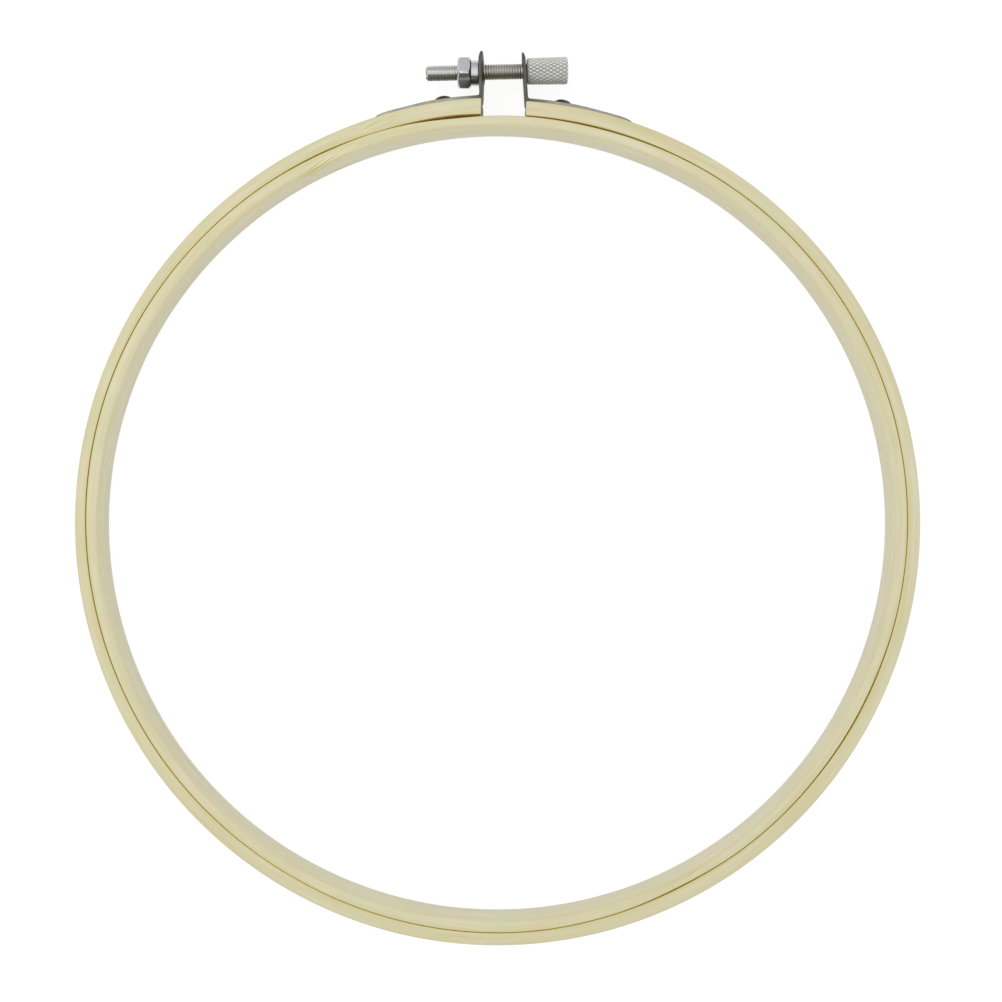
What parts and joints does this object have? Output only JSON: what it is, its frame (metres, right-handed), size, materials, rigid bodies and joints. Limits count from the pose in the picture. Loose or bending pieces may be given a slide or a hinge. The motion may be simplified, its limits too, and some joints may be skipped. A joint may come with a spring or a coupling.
{
  "type": "embroidery hoop",
  "caption": "Round bamboo embroidery hoop: an inner ring inside a split outer ring, closed by a knurled screw through two riveted steel ears.",
  "frame": {"origin": "on the plane that the hoop's back lies on, in the middle of the whole object's length and width", "axes": "+Z out of the front face along the rings' common axis, +Y towards the clamp, +X towards the knob; the rings' centre is at y = -6.95 mm"},
  "size_m": [0.2158, 0.2296, 0.01],
  "materials": {
    "inner_bamboo": "sanded pale bamboo, unvarnished, fine grain along the ring",
    "outer_bamboo": "sanded pale bamboo, unvarnished, fine grain along the ring",
    "bracket_steel": "dull nickel plated strip",
    "rivet_steel": "dull plated, darker than the strip",
    "screw_steel": "bright nickel plated thread",
    "knob_steel": "bright nickel plated diamond knurl",
    "nut_steel": "bright nickel plated, smooth"
  },
  "bodies": {
    "knob_side": {"outer_ring_knob_half": "outer_bamboo", "bracket_knob_side": "bracket_steel", "rivet_knob_side": "rivet_steel"},
    "nut_side": {"outer_ring_nut_half": "outer_bamboo", "bracket_nut_side": "bracket_steel", "rivet_nut_side": "rivet_steel", "clamp_nut": "nut_steel"},
    "screw": {"clamp_screw": "screw_steel", "clamp_knob": "knob_steel"},
    "inner_ring": {"inner_ring": "inner_bamboo"}
  },
  "joints": [
    {"name": "screw_turn", "type": "hinge", "parent": "knob_side", "child": "screw", "pos_m": [0, 0.1096, 0.005], "axis": [0.9993, 0.0365, 0], "range_deg": [-257, 3600]},
    {"name": "ring_flex", "type": "hinge", "parent": "knob_side", "child": "nut_side", "pos_m": [0, -0.11332, 0.005], "axis": [0, 0, 1], "range_deg": [-0.13, 1.81]},
    {"name": "inner_ring_lift", "type": "slide", "parent": "knob_side", "child": "inner_ring", "axis": [0, 0, 1], "range_m": [0, 0.025]}
  ],
  "couplings": [
    {"joint": "ring_flex", "follows": "screw_turn", "ratio": 0.0005001}
  ]
}
